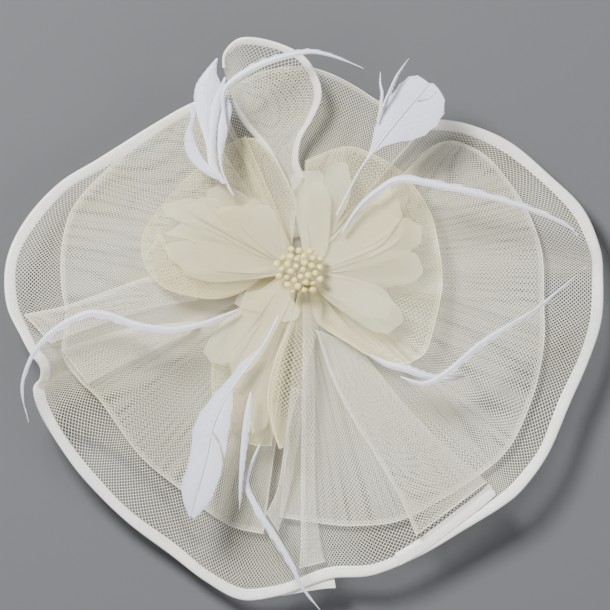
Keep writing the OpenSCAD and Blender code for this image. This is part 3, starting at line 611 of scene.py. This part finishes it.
# ---------------------------------------------------------------- organza petals

# each petal is [level, root, outline]
PETALS = {
    "left": [
        [1, [[-7, 4], [-8, 1]], [[-34, 28], [-56, 34], [-71, 29], [-80, 22], [-70, 19], [-63, 16],
            [-59, 8], [-50, 0], [-38, -1], [-20, 2]]],
        [0, [[-8, 2], [-8, -1]], [[-40, 14], [-62, 18], [-77, 16], [-79, 9], [-73, 2], [-62, -2],
            [-48, -3], [-28, -1]]],
        [2, [[-6, 6], [-8, 4]], [[-20, 16], [-36, 28], [-50, 38], [-62, 43], [-73, 42], [-81, 36],
            [-74, 30], [-60, 27], [-36, 14]]],
        [0, [[-4, 7], [-6, 6]], [[-18, 30], [-28, 41], [-38, 48], [-46, 51], [-55, 47], [-57, 40],
            [-48, 31], [-30, 20]]],
        [3, [[-5, 7], [-7, 5]], [[-13, 14], [-16, 26], [-20, 36], [-26, 42], [-35, 39], [-45, 38],
            [-48, 33], [-40, 23], [-26, 12]]]],
    "right": [
        [0, [[8, -3], [8, 0]], [[28, -9], [42, -11], [56, -10], [69, -6], [73, 4], [67, 11], [50,
            12], [30, 9]]],
        [1, [[8, 0], [8, 3]], [[46, 3], [62, 9], [71, 16], [72, 27], [61, 31], [46, 27], [28,
            18]]],
        [2, [[7, 3], [6, 5]], [[40, 14], [52, 21], [60, 31], [60, 42], [53, 48], [44, 48], [34,
            40], [20, 22]]],
        [1, [[6, 5], [4, 7]], [[20, 26], [28, 38], [31, 52], [28, 62], [22, 64], [16, 61], [13,
            46], [10, 26]]],
        [3, [[8, 2], [5, 7]], [[18, 18], [18, 34], [17, 48], [13, 57], [4, 60], [-5, 57], [-5,
            49], [1, 36], [5, 20]]],
        [1, [[6, -6], [8, -3]], [[20, -21], [32, -30], [45, -37], [56, -37], [61, -28], [54, -18],
            [40, -11], [24, -8]]]],
    "bottom": [
        [0, [[-5, -6], [-2, -8]], [[-24, -52], [-31, -66], [-33, -82], [-30, -93], [-24, -97],
            [-19, -91], [-17, -76], [-13, -52]]],
        [1, [[-8, -3], [-5, -6]], [[-34, -20], [-48, -33], [-56, -45], [-55, -53], [-49, -57],
            [-38, -52], [-25, -38], [-14, -24]]],
        [2, [[-6, -5], [-3, -7]], [[-24, -32], [-34, -48], [-41, -62], [-40, -72], [-32, -75],
            [-23, -65], [-15, -48], [-8, -30]]],
        [3, [[-24, -12], [-12, -13]], [[-36, -14], [-39, -20], [-31, -24], [-20, -27], [-11, -31],
            [-3, -30], [0, -24], [-5, -17]]]],
}


def petal_sheet(level, root, outline, k, turn=0.0, size=1.0, lift=0.0):
    """one layer of a petal: a grid from its root to its outline, ruffled towards the edge"""
    t = np.linspace(0, 1, 73)
    s = np.linspace(0, 1, 25)
    e, q = smooth(outline, t), smooth(root, t)
    axis = unit(smooth(outline, np.array([0.5]))[0] - smooth(root, np.array([0.5]))[0])
    v = e - q
    ahead = (v @ axis)[:, None] * axis
    wavy = 1 + 0.016 * np.sin(17 * t + 2 * k) + 0.010 * np.sin(41 * t + k)
    xy = (q[:, None] + ahead[:, None] * (s[None, :, None] * wavy[:, None, None])
          + (v - ahead)[:, None] * (s ** 0.52)[None, :, None]) * size
    c, d = math.cos(turn), math.sin(turn)
    x, yy = xy[..., 0] * c - xy[..., 1] * d, xy[..., 0] * d + xy[..., 1] * c
    u, w = s[None], (2 * t - 1)[:, None]
    ruffle = (1.1 * np.sin(3.4 * w + 1.7 * k) * u ** 1.4
              + 0.5 * np.sin(7 * w + 3 * k + 2 * u) * u ** 4
              + 2.6 * w * w * u * (1 - 0.5 * u) * (0.9 if k % 2 else 0.4)
              + 1.2 * np.sin(3.6 * u + 1.3 * k) * u)
    z = spray(x, yy, level) + 0.25 + lift + ruffle
    return np.stack([x, yy, z], -1)


def grid_area(g):
    e1, e2 = np.diff(g, axis=0)[:, :-1], np.diff(g, axis=1)[:-1]
    return float(np.linalg.norm(np.cross(e1, e2), axis=-1).sum())


for cluster, rows in PETALS.items():
    b = Builder()
    area = 0
    for k, (level, root, outline) in enumerate(rows):
        layers = ((0.0, 1.0, 0.0), (0.10 if k % 2 else -0.09, 0.88, 1.0))
        for turn, size, lift in layers[:2 if k % 3 else 1]:
            g = petal_sheet(level, root, outline, k + 5 * (size < 1), turn, size, lift)
            b.grid(g)
            area += grid_area(g)
    o = b.piece("petals_" + cluster + "_organza", [M_ORGANZA], "organza", ("petals_" + cluster,), True)

# ---------------------------------------------------------------- flower base and stamens

b = Builder()
z0 = NET_Z + 19.6
prof = [(0.01, z0), (7.8, z0), (8.8, z0 + 0.4), (9, z0 + 1), (8.8, z0 + 1.7), (7.8, z0 + 2),
        (0.01, z0 + 2)]
w = np.arange(48) * 2 * np.pi / 48
b.grid([[[r * math.cos(a), r * math.sin(a), z] for a in w] for r, z in prof], 0, True)
prof = [(3, FELT_Z + FELT_T), (2.8, 10), (3, 16), (2.9, z0)]
b.grid([[[r * math.cos(a), r * math.sin(a), z] for a in w] for r, z in prof], 0, True)
b.piece("flower_disc", [M_STIFFENER], "organza", ("flower_base",), True)

N_STAMEN = 32


def stamen_at(k):
    r = 14.5 * math.sqrt((k + 0.5) / N_STAMEN)
    a = math.radians(137.508 * k)
    return np.array([r * math.cos(a), r * math.sin(a),
                     NET_Z + 38 - 0.018 * r * r + 1.5 * math.sin(math.radians(97 * k))])


heads, stems = Builder(), Builder()
for k in range(N_STAMEN):
    c = stamen_at(k)
    s = 0.94 + 0.1 * math.sin(5.1 * k)
    heads.blob(c, 2.25 * s, (1.0, 0.94 + 0.08 * math.sin(3 * k), 1.02), 9, 14,
               tilt=(0.2 * math.sin(k), 0.2 * math.cos(2 * k)))
    root = np.array([c[0] * 0.3, c[1] * 0.3, NET_Z + 21.8])
    u = np.linspace(0, 1, 8)[:, None]
    path = root + (c - [0, 0, 1.6] - root) * u
    path[:, 0] += 0.5 * np.sin(np.pi * u[:, 0]) * math.cos(k)
    path[:, 1] += 0.5 * np.sin(np.pi * u[:, 0]) * math.sin(k)
    stems.tube(path, 0.25, 6)
heads.piece("stamen_beads", [M_STAMEN], "stamen", ("stamen_heads",), True)
stems.piece("stamen_threads", [M_STEM], "thread", ("stamen_stems",), True)

# ---------------------------------------------------------------- feathers


def feather_z(x, y, level, arch, t):
    return spray(x, y, level) + arch * np.sin(np.pi * t)


def lift_path(xy, level, arch, t, up=0.35):
    z = feather_z(xy[..., 0], xy[..., 1], level, arch, t) + up
    return np.concatenate([xy, z[..., None]], -1)


def barbs(b, p, side, phase=0.0):
    """ribbons for barbs, about a third of them in the darker copy of the barb material: painted shade
    between barbs
    """
    k = np.arange(len(p))
    # a fixed pseudo-random third of the barbs get the painted shade copy
    painted_shade_barbs = np.sin(2.1 * k + phase) + np.sin(0.71 * k + 1.3 * phase) > 0.75
    for chosen, mat in ((~painted_shade_barbs, 0), (painted_shade_barbs, 2)):
        if chosen.any():
            b.ribbons(p[chosen], side[chosen] if len(side) == len(p)
                      else np.broadcast_to(side, p.shape)[chosen], mat)


def vane_feather(b, L, R, C, level, arch, n=150, root=0.12, sweep=0.16, splits=(), width=0.85):
    """barbs run from the shaft C out to the edges L and R"""
    for edge, sgn in ((L, 1), (R, -1)):
        t = np.linspace(root, 0.985, n)
        reach = np.ones(n)
        for at, size, sd in splits:
            if sd == sgn:
                reach = np.where(np.abs(t - at) < size, 0.45, reach)
        u = np.linspace(0, 1, 7)
        tt = np.minimum(t[:, None] + sweep * u[None] ** 1.3 * (1 - 0.2 * t[:, None]), 1.0)
        c, e = smooth(C, tt), smooth(edge, np.clip((tt - root) / (1 - root), 0, 1))
        wob = 1 - 0.05 * np.abs(np.sin(37 * t + sgn))
        p = c + (e - c) * (u[None, :, None] * (reach * wob)[:, None, None])
        q = lift_path(p, level, arch, tt)
        q[..., 2] += 0.5 * np.sin(u * np.pi)[None] + 0.06 * (np.arange(n) % 2)[:, None]
        along = unit(np.gradient(q, axis=1))
        side = unit(np.cross(along, np.array([0, 0, 1.0])))
        taper = (width / 2 * (1 - 0.75 * u ** 2))[None, :, None]
        barbs(b, q, side * taper, 3 * sgn)
    t = np.linspace(0, 1, 50)
    path = lift_path(smooth(C, t), level, arch, t, VANE_T + 0.3)
    b.tube(path, 0.75 - 0.6 * t, 8, 1)


def biot(b, C, width, level, arch, n=90, flip=1, fringe=0.5):
    """narrow pointed feather: a folded blade along its shaft, with a soft fringe on one side"""
    t = np.linspace(0, 1, n)
    c = smooth(C, t)
    d = unit(np.gradient(c, axis=0))
    s = np.stack([-d[:, 1], d[:, 0]], -1) * flip
    hw = width / 2 * (0.22 + 0.78 * np.sin(np.pi * t ** 0.7))
    hw = hw * np.clip((1 - t) * 9 + 0.1, 0, 1)
    rows = []
    for v, lift in ((-1.0, 0.0), (-0.55, 0.5), (-0.2, 0.95), (0.3, 0.6), (0.8, 0.25)):
        rows.append(lift_path(c + s * (v * hw)[:, None], level, arch, t, lift))
    b.grid(np.stack(rows, 1))
    k = int(n * 1.6)
    tk = np.linspace(0.25, 0.96, k)
    u = np.linspace(0, 1, 5)
    tt = np.minimum(tk[:, None] + 0.07 * u[None], 1)
    cc = smooth(C, tt)
    dd = unit(np.gradient(smooth(C, np.linspace(0, 1, 400)), axis=0))
    ii = np.clip((tt * 399).astype(int), 0, 399)
    ss = np.stack([-dd[ii][..., 1], dd[ii][..., 0]], -1) * flip
    hh = width / 2 * (0.22 + 0.78 * np.sin(np.pi * tt ** 0.7)) * np.clip((1 - tt) * 9 + 0.1, 0, 1)
    off = (0.6 + fringe * u[None] * (1 + 0.4 * np.sin(tk * 91)[:, None])) * hh
    p = lift_path(cc + ss * off[..., None], level, arch, tt, 0.2)
    along = unit(np.gradient(p, axis=1))
    side = unit(np.cross(along, np.array([0, 0, 1.0]))) * (0.22 * (1 - 0.7 * u))[None, :, None]
    b.ribbons(p, side)
    b.tube(lift_path(c - s * (0.15 * hw)[:, None], level, arch, t, 0.75), 0.5 - 0.35 * t, 6, 1)


# the third material is the painted shade copy of the barbs
FEATHER = [M_FEATHER, M_QUILL, M_BARB_PAINTED_SHADE]

b = Builder()
vane_feather(b, [[35, 57], [38, 66], [41, 75], [45, 86], [50, 98], [57, 108], [64, 115], [70, 116]],
             [[37, 58], [45, 71], [57, 75], [70, 78], [80, 84], [86, 93], [86, 103], [80, 111]],
             [[22, 33], [29, 47], [36, 60], [44, 71], [54, 84], [64, 96], [72, 105], [77, 111]],
             10, 4, 190, 0.3, 0.3, ((0.78, 0.012, -1),))
b.piece("goose_feather_upper", FEATHER, "feather", ("goose_upper",), True)
b = Builder()
vane_feather(b, [[-21, -43], [-29, -55], [-39, -69], [-40, -80], [-42, -96], [-46, -118], [-53,
             -137], [-63, -149]],
             [[-25, -42], [-34, -53], [-40, -62], [-52, -75], [-63, -91], [-66, -112], [-71,
             -131], [-66, -148]],
             [[-13, -28], [-22, -45], [-33, -60], [-44, -76], [-52, -94], [-56, -113], [-61,
             -131], [-65, -146]],
             10, 4, 210, 0.16, 0.16, ((0.6, 0.01, 1),))
b.piece("goose_feather_lower", FEATHER, "feather", ("goose_lower",), True)


def blade(b, L, R, level, arch, n=110, curl=1.2):
    """pointed feather blade between its two edges, of close barbs from its middle line"""
    for edge, other, sgn in ((L, R, 1), (R, L, -1)):
        t = np.linspace(0.0, 0.97, n)
        u = np.linspace(0, 1, 7)
        tt = np.minimum(t[:, None] + 0.06 * u[None], 1)
        e, mid = smooth(edge, tt), (smooth(edge, tt) + smooth(other, tt)) / 2
        reach = (1 + 0.04 * np.abs(np.sin(57 * t + sgn)))[:, None, None]
        xy = mid + (e - mid) * u[None, :, None] * reach
        rise = curl * (1 - u[None] ** 2) + 0.05 * (np.arange(n) % 2)[:, None]
        p = lift_path(xy, level, arch, tt, rise)
        side = unit(np.cross(unit(np.gradient(p, axis=1)), np.array([0, 0, 1.0])))
        barbs(b, p, side * (0.55 * (1 - 0.6 * u))[None, :, None], 2 * sgn)
    t = np.linspace(0, 0.9, 40)
    b.tube(lift_path((smooth(L, t) + smooth(R, t)) / 2, level, arch, t, curl + 0.2),
           0.32 - 0.2 * t, 6, 1)


# blades of the bunch, each (left edge, right edge)
BLADES = [
    ([[-49, 53], [-61, 61], [-67, 68], [-69, 76], [-68, 83], [-65, 91], [-66, 99]],
     [[-47, 55], [-57, 65], [-62, 74], [-64, 82], [-63, 88], [-62, 94], [-65, 99]]),
    ([[-47, 52], [-54, 62], [-56, 75], [-60, 88], [-63, 100], [-62, 110], [-57, 118], [-50, 126]],
     [[-45, 51], [-51, 62], [-52, 78], [-51, 92], [-48, 104], [-48, 112], [-50, 118], [-49, 126]]),
    ([[-44, 50], [-48, 64], [-49, 80], [-48, 94], [-44, 103]],
     [[-37, 41], [-45, 56], [-46, 68], [-43, 84], [-41, 96], [-43, 103]]),
    ([[-46, 52], [-54, 64], [-54, 82], [-52, 100], [-45, 115]],
     [[-44, 51], [-50, 64], [-50, 82], [-47, 98], [-44, 114]])]
b = Builder()
for i, (left, right) in enumerate(BLADES):
    blade(b, left, right, 8 + 1.8 * i, 0)
b.piece("hackle_feathers", FEATHER, "feather", ("hackle_bunch",), True)

SINGLE = {
    "biots_upper": [([[46, 88], [48, 97], [49, 105], [48, 111], [48, 118]], 1.9, 17, 2),
                    ([[48, 94], [53, 105], [58, 116], [65, 126]], 1.9, 18, 2)],
    "biot_right": [([[25, 22], [34, 36], [46, 47], [60, 54], [85, 50], [104, 46], [126, 40],
                     [146, 33], [160, 26], [167, 19]], 4.4, 8, 8)],
    "biots_lower_right": [([[42, -51], [52, -56], [63, -59], [75, -63], [88, -65],
                            [104, -63]], 4.4, 8, 4),
                          ([[60, -64], [74, -68], [88, -61], [108, -44], [127, -32], [144, -21],
                            [171, 2]], 3.7, 12, 7)],
    "biot_left": [([[-37, -24], [-46, -28], [-60, -33], [-78, -36], [-98, -33], [-112, -28],
                    [-126, -26], [-142, -33], [-154, -43], [-162, -56], [-166, -72],
                    [-162, -91]], 4.4, 8, 6)],
    "biots_bottom": [([[-29, -73], [-31, -85], [-33, -100], [-35, -122], [-36, -143]], 3.9, 13, 4),
                     ([[-24, -104], [-32, -126], [-26, -142], [-16, -158], [-5, -176], [1, -189],
                       [12, -203]], 3.8, 8, 3)],
    "biot_top": [([[-44, 84], [-46, 104], [-40, 113], [-27, 121], [-14, 126], [-2, 129], [8, 130],
                   [21, 127], [38, 120]], 4.0, 16, 3)],
}
for node, rows in SINGLE.items():
    b = Builder()
    for k, (path, width, level, arch) in enumerate(rows):
        biot(b, path, width, level, arch, 120, -1 if k else 1)
    b.piece("curled_" + node, FEATHER, "feather", (node,), True)

# ---------------------------------------------------------------- clip


def finish_node(node, m):
    ob = bpy.data.objects.get(node)
    if ob is not None:
        for s in ob.material_slots:
            s.material = m


for node in ("clip_arm", "clip_jaw", "clip_pin"):
    finish_node(node, M_STEEL)
for node in ("brim_wire", "curl_wire"):
    finish_node(node, M_WIRE)

b = Builder()
turns = 5
u = np.linspace(0, turns, turns * 20 + 1)
coil = np.stack([18 + 1.25 * np.sin(2 * np.pi * u), -1.6 + 3.2 * u / turns,
                 -2 + 1.25 * np.cos(2 * np.pi * u)], -1)
leg_a = np.array([[18.2 + x, 1.6, -0.75 + 0.14 * x] for x in np.linspace(0, 8, 10)])
leg_b = np.array([[18.92 + 0.866 * x, -1.6, -2.88 - 0.5 * x] for x in np.linspace(0, 8, 10)])
b.tube(coil, 0.25, 8)
b.tube(leg_a, 0.25, 8)
b.piece("torsion_spring", [M_STEEL], "steel", ("clip_spring",), True)

b = Builder()
b.tube(leg_b, 0.25, 8)
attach(b.piece("spring_leg", [M_STEEL], "steel", (), True), "jaw")

# ---------------------------------------------------------------- floor, light, camera

floor_z = -0.0102
me = bpy.data.meshes.new("floor")
me.from_pydata([(-4, -4, floor_z), (4, -4, floor_z), (4, 4, floor_z), (-4, 4, floor_z)], [],
               [(0, 1, 2, 3)])
floor = bpy.data.objects.new("floor", me)
scene.collection.objects.link(floor)
mf = bpy.data.materials.new("floor_paper")
mf.use_nodes = True
mf.node_tree.nodes["Principled BSDF"].inputs["Base Color"].default_value = (0.105, 0.108, 0.114, 1)
mf.node_tree.nodes["Principled BSDF"].inputs["Roughness"].default_value = 0.9
me.materials.append(mf)


def area_light(name, loc, size, power, target=(0, 0, 0.01)):
    d = bpy.data.lights.new(name, "AREA")
    d.shape = "DISK"
    d.size = size
    d.energy = power
    o = bpy.data.objects.new(name, d)
    o.location = loc
    v = Vector(target) - Vector(loc)
    o.rotation_euler = v.to_track_quat("-Z", "Y").to_euler()
    scene.collection.objects.link(o)


area_light("key", (-0.7, 0.9, 1.5), 0.6, 78)
area_light("fill", (1.1, -0.6, 1.3), 1.2, 14)
area_light("low", (0.2, -1.6, 0.5), 1.0, 5)
world = bpy.data.worlds.new("studio")
scene.world = world
world.use_nodes = True
world.node_tree.nodes["Background"].inputs[0].default_value = (0.9, 0.93, 1.0, 1)
world.node_tree.nodes["Background"].inputs[1].default_value = 0.3

cam_data = bpy.data.cameras.new("camera")
DIST = 6.0          # metres, far enough for the flat look of a long lens
FRAME_W = 0.366     # width of the picture at the part
cam_data.sensor_width = 36
cam_data.lens = cam_data.sensor_width * DIST / FRAME_W
cam_data.clip_end = 20
cam = bpy.data.objects.new("camera", cam_data)
cam.location = (0.003, -0.021, DIST + 0.015)
scene.collection.objects.link(cam)
scene.camera = cam
